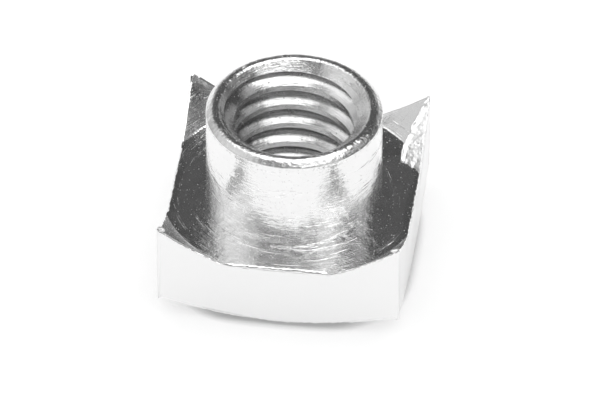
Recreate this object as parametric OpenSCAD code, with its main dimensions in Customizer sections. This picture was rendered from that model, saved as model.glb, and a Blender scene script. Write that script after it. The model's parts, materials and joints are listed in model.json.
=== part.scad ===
// Square blind nut with a turned barrel and four corner prongs, 3/8-16 UNC.
// The origin is on the thread's axis, on the face that the nut stands on. +Z runs up the barrel.
// The bore is drawn as drilled for tapping: a plain wall at the thread's minor diameter.

/* [Bar] */
// Width of the square bar across its flats
bar_w = 15.875; // [14.5:0.005:24]
// Radius of the bar's long edges
bar_edge_r = 0.2; // [0.1:0.05:1.5]

/* [Thread] */
// Major diameter of the thread
thread_d = 9.525; // [7:0.005:12]
// Distance from one turn of the thread to the next
pitch = 1.5875; // [0.8:0.0005:2.5]
// Width that each mouth of the bore adds to the major diameter
mouth_extra = 0.36; // [0.1:0.01:1.2]
// Slope of each mouth below its face, in degrees
mouth_slope = 45; // [25:1:60]

/* [Barrel] */
// Thickness of the barrel outside the thread
barrel_wall = 0.99; // [0.6:0.01:2.5]
// Height of the barrel above the flange's floor
barrel_h = 7.14; // [3:0.01:14]
// Bevel round the barrel's top rim
rim_bevel = 0.4; // [0.1:0.05:0.5]
// Fillet at the barrel's foot
barrel_fillet = 0.5; // [0.1:0.05:1.2]

/* [Flange] */
// Thickness of the flange from its seat to its floor
flange_t = 4.76; // [2.5:0.01:8]
// Width of the floor between the barrel and the prongs
floor_w = 2.92; // [1.8:0.01:3.2]
// Slope of the prongs' inner faces above the floor, in degrees
prong_slope = 45; // [30:1:60]
// Fillet at the foot of the prongs' inner faces
prong_fillet = 0.4; // [0.1:0.05:1]
// Height that is lost from each prong's sharp point
prong_blunt = 0.05; // [0.05:0.05:0.5]

/* [Seat] */
// Diameter of the flat ring that the nut stands on
seat_d = 14.8; // [11:0.05:15.6]
// Rise of the flange's underside outside that ring, in degrees
relief_slope = 20; // [4:1:30]

/* [Torn prong] */
// Reach of the torn metal along the bar's side, from the prong's corner
tear_reach = 5.05; // [3:0.05:7]
// Greatest width of the torn metal, in from the bar's side
tear_w = 1.45; // [0.8:0.05:2.5]
// Slope of the torn metal up to the prong's point, in degrees
tear_slope = 30; // [20:1:35]

/* [Hidden] */

round_sides = 96;
fillet_steps = 6;
past = 1; // how far a cut runs past the face it opens

half_bar = bar_w / 2;
corner_r = (half_bar - bar_edge_r) * sqrt(2) + bar_edge_r; // out to the bar's rounded edges
thread_r = thread_d / 2;
thread_depth = pitch * 5 / 8 * cos(30); // of a 60 degree thread with a flat crest
minor_r = thread_r - thread_depth;
mouth_r = thread_r + mouth_extra / 2;
barrel_r = thread_r + barrel_wall;
top_z = flange_t + barrel_h;
prong_foot_r = barrel_r + floor_w;
prong_h = (corner_r - prong_foot_r) * tan(prong_slope) - prong_blunt;
prong_z = flange_t + prong_h;
wall_top_r = prong_foot_r + prong_h / tan(prong_slope);
clear_r = corner_r + past; // outside the bar everywhere
relief_h = (clear_r - seat_d / 2) * tan(relief_slope);

// Points along an arc, from one angle to the other
function arc(centre, r, from, to) = [
    for (i = [0 : fillet_steps])
        let (a = from + (to - from) * i / fillet_steps)
        centre + r * [cos(a), sin(a)]
];

// Half of the turned outline, from the seat up over the prongs, the floor and the barrel
turned_outline = concat(
    [[0, 0], [seat_d / 2, 0], [clear_r, relief_h], [clear_r, prong_z], [wall_top_r, prong_z]],
    arc([prong_foot_r - prong_fillet * tan(prong_slope / 2), flange_t + prong_fillet],
        prong_fillet, prong_slope - 90, -90),
    arc([barrel_r + barrel_fillet, flange_t + barrel_fillet], barrel_fillet, -90, -180),
    [[barrel_r, top_z - rim_bevel], [barrel_r - rim_bevel, top_z], [0, top_z]]
);

// The square bar, with rounded long edges
module bar(height) {
    linear_extrude(height) union() {
        square([bar_w - 2 * bar_edge_r, bar_w], center = true);
        square([bar_w, bar_w - 2 * bar_edge_r], center = true);
        for (x = [-1, 1], y = [-1, 1])
            translate([x, y] * (half_bar - bar_edge_r)) circle(bar_edge_r, $fn = 24);
    }
}

module turned_blank() {
    intersection() {
        bar(top_z);
        rotate_extrude($fn = round_sides) polygon(turned_outline);
    }
}

// Metal torn up along one side of a prong, lying as a slope from the floor to the prong's point
module torn_metal() {
    outline = [
        [0, 0], [0.17, 0.03], [0.34, 0.16], [0.47, 0.25], [0.66, 0.36], [0.82, 0.5], [0.96, 0.6],
        [1, 0.79], [0.72, 0.85], [0.66, 0.81], [0.4, 0.93], [0.32, 0.88], [0, 1]
    ];
    foot_turn = atan2((1 - 0.79) * tear_reach, tear_w); // the foot runs askew to the bar's side
    intersection() {
        bar(prong_z);
        translate([half_bar, half_bar, flange_t / 2])
            linear_extrude(top_z)
                polygon([for (p = outline) [-p.x * tear_w, -p.y * tear_reach]]);
        translate([half_bar, half_bar - tear_reach, flange_t])
            rotate([0, 0, -foot_turn])
                rotate([tear_slope, 0, 0])
                    translate([-bar_w, -flange_t, -bar_w]) cube([2 * bar_w, 2 * bar_w, bar_w]);
    }
}

// A mouth of the bore, opening towards +Z from the face at z = 0
module mouth() {
    drop = (mouth_r - minor_r) * tan(mouth_slope);
    rise = past * tan(mouth_slope);
    translate([0, 0, -drop])
        cylinder(h = drop + rise, r1 = minor_r, r2 = mouth_r + past, $fn = round_sides);
}

module blind_nut() {
    color("gainsboro") difference() {
        union() {
            turned_blank();
            torn_metal();
        }
        translate([0, 0, -past]) cylinder(h = top_z + 2 * past, r = minor_r, $fn = round_sides);
        translate([0, 0, top_z]) mouth();
        rotate([180, 0, 0]) mouth();
    }
}

blind_nut();
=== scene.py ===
import json
import math

import bmesh
import bpy
from mathutils import Matrix, Vector, geometry, noise


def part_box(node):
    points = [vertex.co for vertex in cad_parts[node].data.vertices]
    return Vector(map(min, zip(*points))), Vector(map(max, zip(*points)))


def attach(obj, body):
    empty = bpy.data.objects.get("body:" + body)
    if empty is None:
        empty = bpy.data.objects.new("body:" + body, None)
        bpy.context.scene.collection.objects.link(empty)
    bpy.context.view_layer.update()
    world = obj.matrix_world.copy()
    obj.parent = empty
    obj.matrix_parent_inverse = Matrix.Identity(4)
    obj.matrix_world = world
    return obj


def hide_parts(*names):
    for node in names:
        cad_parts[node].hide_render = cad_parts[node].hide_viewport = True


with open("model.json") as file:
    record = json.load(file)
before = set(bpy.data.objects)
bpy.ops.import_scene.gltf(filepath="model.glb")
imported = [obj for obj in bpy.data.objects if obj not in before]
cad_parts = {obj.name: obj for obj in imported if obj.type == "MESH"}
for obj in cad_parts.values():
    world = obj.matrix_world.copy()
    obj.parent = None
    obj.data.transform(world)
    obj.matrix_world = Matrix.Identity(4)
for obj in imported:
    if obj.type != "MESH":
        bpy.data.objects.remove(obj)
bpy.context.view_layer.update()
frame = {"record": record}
nutLow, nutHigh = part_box("blind_nut")
mounts = {mount["name"]: mount for mount in frame["record"]["mounts"]}
mm = 0.001
noise.seed_set(1)  # noise_vector takes its seed from the clock otherwise

# from the record and the CAD box
halfBar = nutHigh.x
topZ = nutHigh.z
minorR = mounts["thread"]["dims"]["r_mm"] * mm
barrelR = mounts["barrel"]["dims"]["r_mm"] * mm

barrelHeight = 7.14 * mm  # above the flange's floor, as the part's source has it
floorZ = topZ - barrelHeight

# the view: turned a little to the right of the front, from about 40 degrees above
view = {
    "azimuth": math.radians(7.54),
    "elevation": math.radians(40.49),
    "roll": math.radians(0.27),
    "distance": 852.5 * mm,
    "lens": 783.6,
    "aimRight": 0.398 * mm,
    "aimUp": -0.614 * mm,
}


def setCamera():
    a, e = view["azimuth"], view["elevation"]
    back = Vector((math.sin(a) * math.cos(e), -math.cos(a) * math.cos(e), math.sin(e)))
    right = Vector((math.cos(a), math.sin(a), 0))
    up = back.cross(right)
    aim = Vector((0, 0, floorZ)) + right * view["aimRight"] + up * view["aimUp"]
    data = bpy.data.cameras.new("camera")
    data.sensor_width = 36
    data.lens = view["lens"]
    data.clip_start = 0.05
    data.clip_end = 10
    camera = bpy.data.objects.new("camera", data)
    bpy.context.scene.collection.objects.link(camera)
    turn = Matrix((right, up, back)).transposed().to_4x4() @ Matrix.Rotation(view["roll"], 4, "Z")
    camera.matrix_world = Matrix.Translation(aim + back * view["distance"]) @ turn
    bpy.context.scene.camera = camera


# small helpers for node trees
def newMaterial(name):
    material = bpy.data.materials.new(name)
    material.use_nodes = True
    material.node_tree.nodes.clear()
    return material, material.node_tree


def add(tree, kind, **values):
    node = tree.nodes.new(kind)
    for name, value in values.items():
        setattr(node, name, value)
    return node


# sets a socket, from another socket or from a number
def feed(tree, socket, value):
    if isinstance(value, bpy.types.NodeSocket):
        tree.links.new(value, socket)
    else:
        socket.default_value = value


def maths(tree, operation, first, second=None, clamp=False):
    node = add(tree, "ShaderNodeMath", operation=operation, use_clamp=clamp)
    feed(tree, node.inputs[0], first)
    if second is not None:
        feed(tree, node.inputs[1], second)
    return node.outputs[0]


def ramp(tree, value, stops):
    node = add(tree, "ShaderNodeValToRGB")
    while len(node.color_ramp.elements) < len(stops):
        node.color_ramp.elements.new(1)
    for element, (place, grey) in zip(node.color_ramp.elements, stops):
        element.position = place
        element.color = (grey, grey, grey, 1)
    tree.links.new(value, node.inputs[0])
    return node.outputs[0]


def mix(tree, factor, first, second):
    node = add(tree, "ShaderNodeMix", data_type="FLOAT")
    for name, value in (("Factor", factor), ("A", first), ("B", second)):
        feed(tree, node.inputs[name], value)
    return node.outputs[0]


studio = {
    "softLight": 1.25,
    "floorColor": 0.85,
    "floorLift": 0.36,  # added for the camera and for reflections, so that the open floor is white
    "floorSize": 400 * mm,
    # reach and darkest level of the shadow painted into the floor's colour around the nut
    "contactReach": 0.65 * mm,
    "contactShadowDark": 0.55,
    "rightWall": (90, 22, 22, 40),  # azimuth, elevation, inner and outer angle, as lobe() takes them
    "rightWallLevel": 0.55,
    "frontGlow": (-135, 20, 50, 75),
    "frontLevel": 0.85,
    "lensHole": (0, 90, 5, 9),
    "lamps": [  # the same four angles, then the level
        (-89, 34, 16, 46, 0.85),
        (-80, 58, 12, 24, 1.6),
        (-38, 12, 12, 24, 0.8),
        (136, 27, 10, 24, 0.9),
        (80, 40, 7, 16, 0.6),
        (115, 81, 28, 35, 2.6),
    ],
}


# 1 for what the camera sees, straight or in a reflection
def seesWhite(tree):
    path = add(tree, "ShaderNodeLightPath")
    either = maths(tree, "MAXIMUM", path.outputs["Is Camera Ray"], path.outputs["Is Glossy Ray"])
    return maths(tree, "MAXIMUM", either, path.outputs["Is Transmission Ray"])


def whiteFloor():
    bm = bmesh.new()
    bmesh.ops.create_grid(bm, x_segments=1, y_segments=1, size=studio["floorSize"])
    mesh = bpy.data.meshes.new("floor")
    bm.to_mesh(mesh)
    bm.free()
    floor = bpy.data.objects.new("floor", mesh)
    bpy.context.scene.collection.objects.link(floor)
    material, tree = newMaterial("whiteSweep")
    base = studio["floorColor"]
    # painted contact shadow: ambient occlusion darkens the floor's colour and its lift in a close dark line
    # where the floor lies against the nut
    near = add(tree, "ShaderNodeAmbientOcclusion", samples=16)
    near.inputs["Distance"].default_value = studio["contactReach"]
    paintedContactShadow = ramp(tree, near.outputs["AO"], [(0.3, studio["contactShadowDark"]), (0.98, 1)])
    diffuse = add(tree, "ShaderNodeBsdfDiffuse")
    tree.links.new(maths(tree, "MULTIPLY", paintedContactShadow, base), diffuse.inputs["Color"])
    glow = add(tree, "ShaderNodeEmission")
    lift = maths(tree, "MULTIPLY", seesWhite(tree), studio["floorLift"])
    tree.links.new(maths(tree, "MULTIPLY", lift, paintedContactShadow), glow.inputs["Strength"])
    both = add(tree, "ShaderNodeAddShader")
    tree.links.new(diffuse.outputs[0], both.inputs[0])
    tree.links.new(glow.outputs[0], both.inputs[1])
    out = add(tree, "ShaderNodeOutputMaterial")
    tree.links.new(both.outputs[0], out.inputs["Surface"])
    mesh.materials.append(material)


# 1 within `inner` degrees of a direction, falling to 0 at `outer`; azimuth is clockwise from the far side
def lobe(tree, direction, azimuth, elevation, inner, outer):
    a = math.radians(azimuth) - view["azimuth"]
    e = math.radians(elevation)
    aim = Vector((math.sin(a) * math.cos(e), math.cos(a) * math.cos(e), math.sin(e)))
    dot = add(tree, "ShaderNodeVectorMath", operation="DOT_PRODUCT")
    tree.links.new(direction, dot.inputs[0])
    dot.inputs[1].default_value = aim
    span = add(tree, "ShaderNodeMapRange", interpolation_type="SMOOTHSTEP")
    span.inputs["From Min"].default_value = math.cos(math.radians(outer))
    span.inputs["From Max"].default_value = math.cos(math.radians(inner))
    tree.links.new(dot.outputs["Value"], span.inputs["Value"])
    return span.outputs[0]


def studioLight():
    world = bpy.data.worlds.new("studio")
    world.use_nodes = True
    bpy.context.scene.world = world
    tree = world.node_tree
    tree.nodes.clear()
    where = add(tree, "ShaderNodeTexCoord").outputs["Generated"]
    height = add(tree, "ShaderNodeSeparateXYZ")
    tree.links.new(where, height.inputs[0])
    up = height.outputs["Z"]  # the sine of the elevation
    # low walls, brighter on the left and in front, under a dark room
    low = ramp(tree, up, [(0, 0.15), (0.04, 0.15), (0.14, 1), (0.52, 1), (0.65, 0)])
    walls = ramp(tree, up, [(0, 0.4), (0.1, 1), (0.3, 0.9), (0.42, 0)])
    level = maths(tree, "ADD", maths(tree, "MULTIPLY", walls, 0.34), 0.08)
    # the right hand wall is dark
    dark = maths(tree, "SUBTRACT", 1.0, lobe(tree, where, *studio["rightWall"]))
    level = maths(tree, "MULTIPLY", level, maths(tree, "MAXIMUM", dark, studio["rightWallLevel"]))
    front = maths(tree, "MULTIPLY", lobe(tree, where, *studio["frontGlow"]), low)
    level = maths(tree, "MAXIMUM", level, maths(tree, "MULTIPLY", front, studio["frontLevel"]))
    for *angles, strength in studio["lamps"]:
        lamp = maths(tree, "MULTIPLY", lobe(tree, where, *angles), strength)
        level = maths(tree, "MAXIMUM", level, lamp)
    # the lens hole in the middle of the softbox
    hole = lobe(tree, where, *studio["lensHole"])
    level = maths(tree, "MULTIPLY", level, maths(tree, "SUBTRACT", 1.0, hole))
    path = add(tree, "ShaderNodeLightPath")
    # reflections see the room, soft light comes from above, and the camera sees plain white
    soft = ramp(tree, up, [(0, 0.1), (0.3, 0.4), (0.6, 1.0), (1, 1.0)])
    soft = maths(tree, "MULTIPLY", soft, studio["softLight"])
    strength = mix(tree, path.outputs["Is Glossy Ray"], soft, level)
    strength = mix(tree, path.outputs["Is Camera Ray"], strength, 1.0)
    background = add(tree, "ShaderNodeBackground")
    tree.links.new(strength, background.inputs["Strength"])
    out = add(tree, "ShaderNodeOutputWorld")
    tree.links.new(background.outputs[0], out.inputs["Surface"])


def newPiece(name, bm, smoothAngle=28):
    mesh = bpy.data.meshes.new(name)
    bm.to_mesh(mesh)
    bm.free()
    piece = bpy.data.objects.new(name, mesh)
    bpy.context.scene.collection.objects.link(piece)
    mesh.shade_smooth()
    mesh.set_sharp_from_angle(angle=math.radians(smoothAngle))
    return piece


def applyModifiers(piece):
    shaped = piece.evaluated_get(bpy.context.evaluated_depsgraph_get())
    mesh = bpy.data.meshes.new_from_object(shaped)
    piece.modifiers.clear()
    piece.data = mesh


def cutAway(piece, tool):
    step = piece.modifiers.new("cut", "BOOLEAN")
    step.operation = "DIFFERENCE"
    step.solver = "EXACT"
    step.object = tool
    applyModifiers(piece)
    bpy.data.objects.remove(tool)


# cuts along a plane, and returns the edges that lie on it
def slicePlane(bm, at, normal, clearOuter=False):
    cut = bmesh.ops.bisect_plane(bm, geom=bm.verts[:] + bm.edges[:] + bm.faces[:], dist=1e-8,
                                 plane_co=at, plane_no=normal, clear_outer=clearOuter)
    return [e for e in cut["geom_cut"] if isinstance(e, bmesh.types.BMEdge)]


def barSides():
    return [Matrix.Rotation(quarter * math.pi / 2, 4, "Z") @ Vector((1, 0, 0)) for quarter in range(4)]


nut = {
    "threadPitch": 25.4 * mm / 16,
    "grooveBelowTop": 1.32 * mm,  # middle of the groove under the rim, on the +X side
    "seatR": 7.4 * mm,
    "reliefSlope": math.radians(20),
    "prongFootR": barrelR + 2.92 * mm,
    "prongBlunt": 0.05 * mm,
    "barEdgeR": 0.2 * mm,
    "knockedR": 0.35 * mm,
    "mouthR": 4.9425 * mm,
    "rimBevel": 0.4 * mm,
    "rimBurr": 0.03 * mm,  # stands out below the bevel
    "edgeBreak": 0.18 * mm,  # along the flange's edges
    "edgeWander": 0.035 * mm,
    "edgeRagged": (0.25 * mm, 0.9 * mm),  # sizes of the fine and the broad raggedness
    "backShare": 0.35,  # of the raggedness, along the back
    "backFrom": 2 * mm,
    "slopeSlack": 0.05 * mm,
    "tipDrop": 0.08 * mm,
    "holdLoops": (0.32 * mm, 0.6 * mm, 1.0 * mm),
    "lipHeight": 0.3 * mm,  # metal pushed up along the back edge, left of the barrel
    "lipReach": 0.62 * mm,
    "lipFoot": 0.1 * mm,  # the lip begins this far above the floor
    "lipRise": 0.6 * mm,  # height over which it grows
    "lipFade": 0.75,  # what is left of it at the corner
    "rimWander": 0.014 * mm,
    "rimRagged": (0.18 * mm, 0.8 * mm),
    "rimDepth": 0.45 * mm,  # below the top, for the rim's own finish
    "rimRoughDepth": 0.5 * mm,
    "rimRoughInset": 0.2 * mm,  # in past the mouth's edge
    "rimLoops": (0.12 * mm, 0.2 * mm, 0.3 * mm, 0.8 * mm),  # depths below the top
    "steps": 720,
    "threadSteps": 120,
    "flankCurve": 1.6,
}
# material numbers: turned faces, the bar's flats, the thread, rim and mouth, broken edges
turned, drawn, tapped, rimmed, edged = range(5)


def profileOf(bm, points, closed=False):
    verts = [bm.verts.new((r, 0, z)) for r, z in points]
    for a, b in zip(verts, verts[1:] + verts[:1] if closed else verts[1:]):
        bm.edges.new((a, b))
    return verts


def roundCorner(bm, vert, size, segments):
    bmesh.ops.bevel(bm, geom=[vert], offset=size, offset_type="OFFSET", segments=segments,
                    profile=0.5, affect="VERTICES", material=-1)


# the prongs rise at 45 degrees from their foot to the bar's corners
def prongHeight():
    tipR = (halfBar - nut["barEdgeR"]) * math.sqrt(2) + nut["barEdgeR"]
    return tipR - nut["prongFootR"] - nut["prongBlunt"]


def turnedBlank():
    bm = bmesh.new()
    clearR = halfBar * 1.6
    prongZ = floorZ + prongHeight()
    drop = nut["mouthR"] - minorR
    bevelZ = topZ - nut["rimBevel"]
    corners = profileOf(bm, [
        (minorR, drop), (nut["mouthR"], 0), (nut["seatR"], 0),
        (clearR, (clearR - nut["seatR"]) * math.tan(nut["reliefSlope"])), (clearR, prongZ),
        (nut["prongFootR"] + prongZ - floorZ, prongZ), (nut["prongFootR"], floorZ), (barrelR, floorZ),
        (barrelR, bevelZ - 2 * nut["rimBurr"]), (barrelR + nut["rimBurr"], bevelZ),
        (barrelR - nut["rimBevel"], topZ), (nut["mouthR"], topZ),
        (minorR, topZ - drop), (minorR, topZ - drop - 0.1 * mm),
    ], closed=True)
    for corner, size, segments in [
        (1, 0.08 * mm, 2), (2, 0.15 * mm, 3), (6, 0.1 * mm, 5), (9, 0.06 * mm, 3),
        (10, 0.18 * mm, 8), (11, 0.12 * mm, 7), (12, 0.05 * mm, 2), (0, 0.05 * mm, 2),
    ]:
        roundCorner(bm, corners[corner], size, segments)
    # loops that hold the rim's roughness off the barrel and the mouth
    for depth in nut["rimLoops"]:
        slicePlane(bm, (0, 0, topZ - depth), (0, 0, 1))
    bmesh.ops.spin(bm, geom=bm.verts[:] + bm.edges[:], cent=(0, 0, 0), axis=(0, 0, 1),
                   angle=math.tau, steps=nut["steps"], use_merge=True)
    bmesh.ops.remove_doubles(bm, verts=bm.verts, dist=1e-7)
    bmesh.ops.recalc_face_normals(bm, faces=bm.faces)
    for face in bm.faces:
        middle = face.calc_center_median()
        if middle.z > topZ - nut["rimDepth"] or math.hypot(*middle.xy) < nut["mouthR"]:
            face.material_index = rimmed
    return bm


# the bar's four flats, cut from the turned blank
def squareSides(bm):
    for side in barSides():
        rim = slicePlane(bm, side * halfBar, side, clearOuter=True)
        for face in bmesh.ops.contextual_create(bm, geom=rim)["faces"]:
            face.material_index = drawn
    bmesh.ops.recalc_face_normals(bm, faces=bm.faces)


# no vert of a rounded edge may stand out past the bar's corners or above the prongs' slopes
def keepInside(vert, reach, tipZ):
    x = max(-reach, min(reach, vert.co.x))
    y = max(-reach, min(reach, vert.co.y))
    cornerR = nut["knockedR"] if x < 0 < y else nut["barEdgeR"]
    farthest = (halfBar - cornerR) * math.sqrt(2) + cornerR
    back = min(1, farthest / math.hypot(x, y))
    slopeZ = floorZ + max(0, math.hypot(x, y) * back - nut["prongFootR"]) + nut["slopeSlack"]
    vert.co = (x * back, y * back, min(vert.co.z, slopeZ, tipZ))


# the edges where the turned faces meet the flats, rounded and a little ragged
def breakEdges(bm):
    def isSide(face):
        return face.material_index == drawn
    upright = [e for e in bm.edges if all(isSide(f) for f in e.link_faces)]
    knocked = [e for e in upright if e.verts[0].co.x < 0 < e.verts[0].co.y]  # the back left corner is rounder
    others = [e for e in upright if e not in knocked]
    for edges, size in ((knocked, nut["knockedR"]), (others, nut["barEdgeR"])):
        bmesh.ops.bevel(bm, geom=edges, offset=size, offset_type="OFFSET", segments=4,
                        profile=0.5, affect="EDGES", material=drawn)
    around = [e for e in bm.edges if isSide(e.link_faces[0]) != isSide(e.link_faces[-1])]
    made = bmesh.ops.bevel(bm, geom=around, offset=nut["edgeBreak"], offset_type="OFFSET", segments=5,
                           profile=0.5, affect="EDGES", material=edged, clamp_overlap=False)
    ragged = {v for f in made["faces"] for v in f.verts}
    # loops beside each flat keep the raggedness out of the broad faces
    for side in barSides():
        for inset in nut["holdLoops"]:
            slicePlane(bm, side * (halfBar - inset), side)
    tipZ = floorZ + prongHeight() - nut["tipDrop"]
    for vert in bm.verts:
        if vert in ragged:
            wander = nut["edgeWander"] * (1 if vert.co.y < nut["backFrom"] else nut["backShare"])
            for size in nut["edgeRagged"]:
                vert.co += noise.noise_vector(vert.co / size) * wander
        x, y, z = vert.co
        onPoint = vert.co.xy.length > nut["prongFootR"] and x < 0 < y and z > floorZ  # the back left one
        if vert in ragged or onPoint:
            keepInside(vert, halfBar + nut["edgeWander"], tipZ)


# the tool pushes metal up where it leaves the back left corner
def raiseLip(bm):
    for vert in bm.verts:
        x, y, z = vert.co
        deep = 1 - (halfBar - y) / nut["lipReach"]
        if x < 0 and deep > 0 and z > floorZ + nut["lipFoot"]:
            rise = min(1, (z - floorZ) / nut["lipRise"])
            fade = max(nut["lipFade"], min(1, (x + halfBar) / nut["lipReach"]))  # lower towards the point
            vert.co.z += nut["lipHeight"] * rise * fade * deep * deep


def roughenRim(bm):
    innerR = nut["mouthR"] - nut["rimRoughInset"]
    for vert in bm.verts:
        x, y, z = vert.co
        if z > topZ - nut["rimRoughDepth"] and math.hypot(x, y) > innerR:
            for size in nut["rimRagged"]:
                vert.co += noise.noise_vector(vert.co / size) * nut["rimWander"]


def grooveTool():
    pitch = nut["threadPitch"]
    steps = nut["threadSteps"]
    rootR = minorR + pitch * 5 / 8 * math.cos(math.radians(30))
    below = math.ceil(topZ / pitch) + 1
    middle = topZ - nut["grooveBelowTop"] - below * pitch

    # a 60 degree groove whose flanks steepen towards the crest, as worn taps leave them
    def half(r):
        depth = rootR - minorR
        rise = max(0, (rootR - r) / depth) ** nut["flankCurve"]
        return pitch / 16 + depth * math.tan(math.radians(30)) * rise

    stations = [minorR - 0.15 * mm] + [minorR + (rootR - minorR) * part / 5 for part in range(6)]
    lower = [(r, middle - half(r)) for r in stations]
    upper = [(r, middle + half(r)) for r in reversed(stations)]
    bm = bmesh.new()
    ring = profileOf(bm, lower + upper, closed=True)
    section = bm.faces.new(ring)
    turns = below + 2
    bmesh.ops.spin(bm, geom=[section] + section.edges[:] + section.verts[:], cent=(0, 0, 0),
                   axis=(0, 0, 1), dvec=(0, 0, pitch / steps), angle=math.tau * turns, steps=steps * turns)
    bmesh.ops.recalc_face_normals(bm, faces=bm.faces)
    for face in bm.faces:
        face.material_index = tapped
    return bm


def buildNut():
    bm = turnedBlank()
    squareSides(bm)
    breakEdges(bm)
    raiseLip(bm)
    roughenRim(bm)
    print("stage: blank", len(bm.faces))
    finishes = [turnedFinish("turnedFace", steel["turned"]), grainFinish("barSide", steel["drawn"]),
                turnedFinish("tappedThread", steel["tapped"]), turnedFinish("rimFace", steel["rimmed"]),
                grainFinish("brokenEdge", steel["edged"])]
    body = newPiece("nutBody", bm)
    groove = newPiece("groove", grooveTool())
    for piece in (body, groove):
        for finish in finishes:
            piece.data.materials.append(finish)
    cutAway(body, groove)
    body.data.set_sharp_from_angle(angle=math.radians(28))
    even = body.modifiers.new("evenNormals", "WEIGHTED_NORMAL")
    even.mode = "FACE_AREA"
    even.weight = 100
    even.keep_sharp = True
    return body


tear = {
    "reach": 5.05 * mm,  # along the bar's side, from the back right corner
    "width": 1.45 * mm,
    "slope": math.radians(30),
    "sunk": 0.4 * mm,  # its base lies this far under the floor
    "ridge": 0.16 * mm,  # rise of its inner edge
    "ridgeReach": 0.17 * mm,
    "grain": 0.055 * mm,
    "lumps": 0.04 * mm,
    "lumpSizes": (0.5 * mm, 0.17 * mm),
    "lumpEvery": 0.45 * mm,  # along the ridge
    "footReach": 0.12 * mm,
    "footSkew": 0.21,  # of the reach: the foot runs askew to the bar's side
    "behind": 0.01 * mm,  # its outer side lies this far inside the bar's
    "proud": 0.03 * mm,  # the most that its lumps stand out from the bar's side
    "tipR": 0.19 * mm,
    "tipShape": (1.7, 0.85, 0.75),
    "tipTurn": 0.4,
    "tipInset": (0.3 * mm, 0.24 * mm),  # from the bar's sides
    "tipBelow": 0.12 * mm,
}


# metal torn up beside the back right prong, and the blobs left on the two front points
def buildTear():
    outline = [(0, 0), (0.17, 0.03), (0.34, 0.16), (0.47, 0.25), (0.66, 0.36), (0.82, 0.5), (0.96, 0.6),
               (1, 0.79), (0.72, 0.85), (0.66, 0.81), (0.4, 0.93), (0.32, 0.88), (0, 1)]
    flush = halfBar - tear["behind"]
    foot = floorZ - tear["sunk"]
    points = [Vector((flush - x * tear["width"], flush - y * tear["reach"], foot)) for x, y in outline]
    bm = bmesh.new()
    base = bm.faces.new([bm.verts.new(point) for point in points])
    raised = bmesh.ops.extrude_face_region(bm, geom=[base])["geom"]
    lifted = [v for v in raised if isinstance(v, bmesh.types.BMVert)]
    bmesh.ops.translate(bm, verts=lifted, vec=(0, 0, 4 * mm))
    footTurn = math.atan2(tear["footSkew"] * tear["reach"], tear["width"])
    up = Matrix.Rotation(-footTurn, 3, "Z") @ Matrix.Rotation(tear["slope"], 3, "X") @ Vector((0, 0, 1))
    rim = slicePlane(bm, points[-1] + Vector((0, 0, tear["sunk"])), up, clearOuter=True)
    bmesh.ops.contextual_create(bm, geom=rim)
    bmesh.ops.recalc_face_normals(bm, faces=bm.faces)
    tipZ = floorZ + prongHeight() - tear["tipBelow"]
    tipShape = Matrix.Diagonal((*tear["tipShape"], 1))
    insetX, insetY = tear["tipInset"]
    for side in (-1, 1):
        where = Matrix.Translation((side * (halfBar - insetX), -halfBar + insetY, tipZ))
        turn = Matrix.Rotation(side * tear["tipTurn"], 4, "Z")
        bmesh.ops.create_icosphere(bm, subdivisions=3, radius=tear["tipR"], matrix=where @ turn @ tipShape)
    piece = newPiece("tornMetal", bm, 60)
    remesh = piece.modifiers.new("fine", "REMESH")
    remesh.mode = "VOXEL"
    remesh.voxel_size = tear["grain"]
    applyModifiers(piece)
    mesh = piece.data
    inner = points[1:8]
    broad, fine = tear["lumpSizes"]
    for vert in mesh.vertices:
        here = vert.co.copy()
        flat = Vector((here.x, here.y, points[0].z))
        nearest = [geometry.intersect_point_line(flat, a, b)[0] for a, b in zip(inner, inner[1:])]
        gap = min((flat - point).length for point in nearest)
        lump = noise.noise(here / tear["lumpEvery"])
        vert.co.z += tear["ridge"] * math.exp(-(gap / tear["ridgeReach"]) ** 2) * (0.8 + lump)
        footShare = 0.4 + 0.9 * math.exp(-abs(here.z - floorZ) / tear["footReach"])  # most at its foot
        vert.co += noise.noise_vector(here / broad) * tear["lumps"]
        vert.co += noise.noise_vector(here / fine) * tear["lumps"] * footShare
        vert.co.x = min(vert.co.x, halfBar + tear["proud"])
    mesh.shade_smooth()
    mesh.materials.append(grainFinish("tornMetal", steel["torn"]))
    return piece


steel = {
    "turned": {
        "color": 0.88, "roughness": 0.12, "rougher": 0.26, "anisotropy": 0.6, "lineSize": 0.14 * mm,
        "lineDepth": 0.04 * mm, "scoreDepth": 0.018 * mm, "arc": 3, "speckSize": 0.15 * mm,
    },
    "drawn": {"color": 0.88, "roughness": 0.28, "grainSize": 0.3 * mm, "grainDepth": 0.004 * mm},
    "tapped": {
        "color": 0.76, "roughness": 0.16, "rougher": 0.3, "anisotropy": 0.6, "lineSize": 0.13 * mm,
        "lineDepth": 0.02 * mm, "scoreDepth": 0.003 * mm, "arc": 3, "speckSize": 0.24 * mm,
    },
    "rimmed": {
        "color": 0.88, "roughness": 0.14, "rougher": 0.34, "anisotropy": 0.55, "lineSize": 0.1 * mm,
        "lineDepth": 0.03 * mm, "scoreDepth": 0.016 * mm, "arc": 4, "speckSize": 0.18 * mm,
    },
    "edged": {"color": 0.9, "roughness": 0.1, "grainSize": 0.2 * mm, "grainDepth": 0.008 * mm},
    "torn": {"color": 0.97, "roughness": 0.4, "grainSize": 0.18 * mm, "grainDepth": 0.012 * mm},
    "prongShare": 0.55,  # of the tool marks, on the prongs' slopes
    "speckRoughness": 0.75,
}


def place(tree):
    here = add(tree, "ShaderNodeTexCoord").outputs["Object"]
    parts = add(tree, "ShaderNodeSeparateXYZ")
    tree.links.new(here, parts.inputs[0])
    x, y, z = parts.outputs
    r = maths(tree, "SQRT", maths(tree, "ADD", maths(tree, "MULTIPLY", x, x), maths(tree, "MULTIPLY", y, y)))
    return here, x, y, z, r


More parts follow.
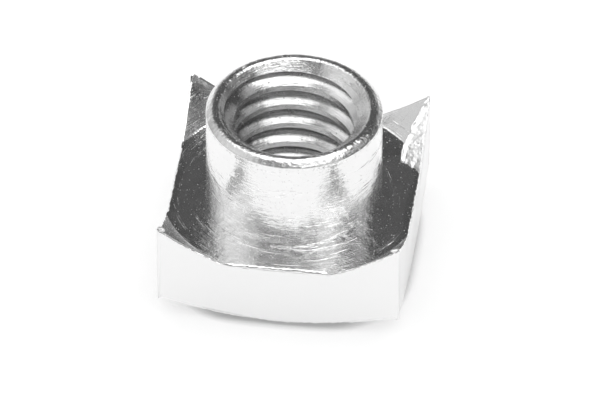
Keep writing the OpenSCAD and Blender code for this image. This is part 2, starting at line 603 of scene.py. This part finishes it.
def vectorOf(tree, x, y, z):
    node = add(tree, "ShaderNodeCombineXYZ")
    for socket, value in zip(node.inputs, (x, y, z)):
        tree.links.new(value, socket)
    return node.outputs[0]


def noiseOf(tree, vector, scale, detail, rough):
    node = add(tree, "ShaderNodeTexNoise")
    tree.links.new(vector, node.inputs["Vector"])
    node.inputs["Scale"].default_value = scale
    node.inputs["Detail"].default_value = detail
    node.inputs["Roughness"].default_value = rough
    return node.outputs[0]


# thin marks that run round the axis; `arc` is how many lie end to end in a radian
def ringLines(tree, x, y, z, r, size, arc, detail=3.0):
    along = maths(tree, "MULTIPLY", maths(tree, "DIVIDE", x, r), arc)
    across = maths(tree, "MULTIPLY", maths(tree, "DIVIDE", y, r), arc)
    profile = maths(tree, "ADD", r, maths(tree, "MULTIPLY", z, 0.7))
    vector = vectorOf(tree, maths(tree, "DIVIDE", profile, size), along, across)
    return noiseOf(tree, vector, 1.0, detail=detail, rough=0.6)


# small dots of mixed sizes: 1 in the middle and 0 outside, on some of the cells only
def specks(tree, here, size):
    cells = add(tree, "ShaderNodeTexVoronoi")
    tree.links.new(here, cells.inputs["Vector"])
    cells.inputs["Scale"].default_value = 1 / size
    pick = add(tree, "ShaderNodeSeparateColor")
    tree.links.new(cells.outputs["Color"], pick.inputs[0])
    radius = maths(tree, "MULTIPLY", maths(tree, "SUBTRACT", pick.outputs[0], 0.4), 0.5)
    return maths(tree, "MULTIPLY", maths(tree, "SUBTRACT", radius, cells.outputs["Distance"]), 14, clamp=True)


def bump(tree, height, distance, normal=None):
    node = add(tree, "ShaderNodeBump")
    node.inputs["Strength"].default_value = 1.0
    node.inputs["Distance"].default_value = distance
    tree.links.new(height, node.inputs["Height"])
    if normal:
        tree.links.new(normal, node.inputs["Normal"])
    return node.outputs[0]


def platedShader(tree, look):
    shader = add(tree, "ShaderNodeBsdfPrincipled")
    shader.inputs["Metallic"].default_value = 1
    base = look["color"]
    shader.inputs["Base Color"].default_value = (base, base, base, 1)
    shader.inputs["Roughness"].default_value = look["roughness"]
    out = add(tree, "ShaderNodeOutputMaterial")
    tree.links.new(shader.outputs[0], out.inputs["Surface"])
    return shader


def turnedFinish(name, look):
    material, tree = newMaterial(name)
    shader = platedShader(tree, look)
    shader.inputs["Anisotropic"].default_value = look["anisotropy"]
    shader.inputs["Anisotropic Rotation"].default_value = 0.25
    here, x, y, z, r = place(tree)
    around = add(tree, "ShaderNodeVectorMath", operation="CROSS_PRODUCT")
    tree.links.new(here, around.inputs[1])
    around.inputs[0].default_value = (0, 0, 1)
    unit = add(tree, "ShaderNodeVectorMath", operation="NORMALIZE")
    tree.links.new(around.outputs[0], unit.inputs[0])
    tree.links.new(unit.outputs[0], shader.inputs["Tangent"])
    lines = ringLines(tree, x, y, z, r, look["lineSize"], look["arc"], detail=2.0)
    worn = noiseOf(tree, here, 1 / (0.7 * mm), detail=3.0, rough=0.6)
    worn = maths(tree, "MULTIPLY", maths(tree, "SUBTRACT", worn, 0.3), 2.2, clamp=True)
    # the prongs' slopes were cut more lightly than the floor
    lighter = add(tree, "ShaderNodeMapRange")
    tree.links.new(r, lighter.inputs["Value"])
    span = {"From Min": nut["prongFootR"] - 0.1 * mm, "From Max": nut["prongFootR"] + 0.1 * mm,
            "To Min": 1, "To Max": steel["prongShare"]}
    for name, value in span.items():
        lighter.inputs[name].default_value = value
    worn = maths(tree, "MULTIPLY", worn, lighter.outputs[0])
    lines = bump(tree, maths(tree, "MULTIPLY", lines, worn), look["lineDepth"])
    # fewer, deeper marks with hard sides
    marks = ringLines(tree, x, y, z, r, look["lineSize"] * 3, look["arc"] * 0.5)
    marks = maths(tree, "MULTIPLY", maths(tree, "SUBTRACT", marks, 0.6), 14, clamp=True)
    tree.links.new(bump(tree, marks, look["scoreDepth"], lines), shader.inputs["Normal"])
    patches = noiseOf(tree, here, 1 / (0.9 * mm), detail=4.0, rough=0.65)
    dull = mix(tree, patches, look["roughness"], look["rougher"])
    dull = mix(tree, specks(tree, here, look["speckSize"]), dull, steel["speckRoughness"])
    tree.links.new(dull, shader.inputs["Roughness"])
    return material


def grainFinish(name, look):
    material, tree = newMaterial(name)
    shader = platedShader(tree, look)
    here = add(tree, "ShaderNodeTexCoord").outputs["Object"]
    grain = noiseOf(tree, here, 1 / look["grainSize"], detail=4.0, rough=0.6)
    tree.links.new(bump(tree, grain, look["grainDepth"]), shader.inputs["Normal"])
    return material


setCamera()
whiteFloor()
studioLight()
nutBody = buildNut()
print("stage: body", len(nutBody.data.polygons))

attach(nutBody, "root")
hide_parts("blind_nut")

tornMetal = buildTear()
print("stage: torn metal", len(tornMetal.data.polygons))
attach(tornMetal, "root")

bpy.context.scene.view_settings.view_transform = "Standard"
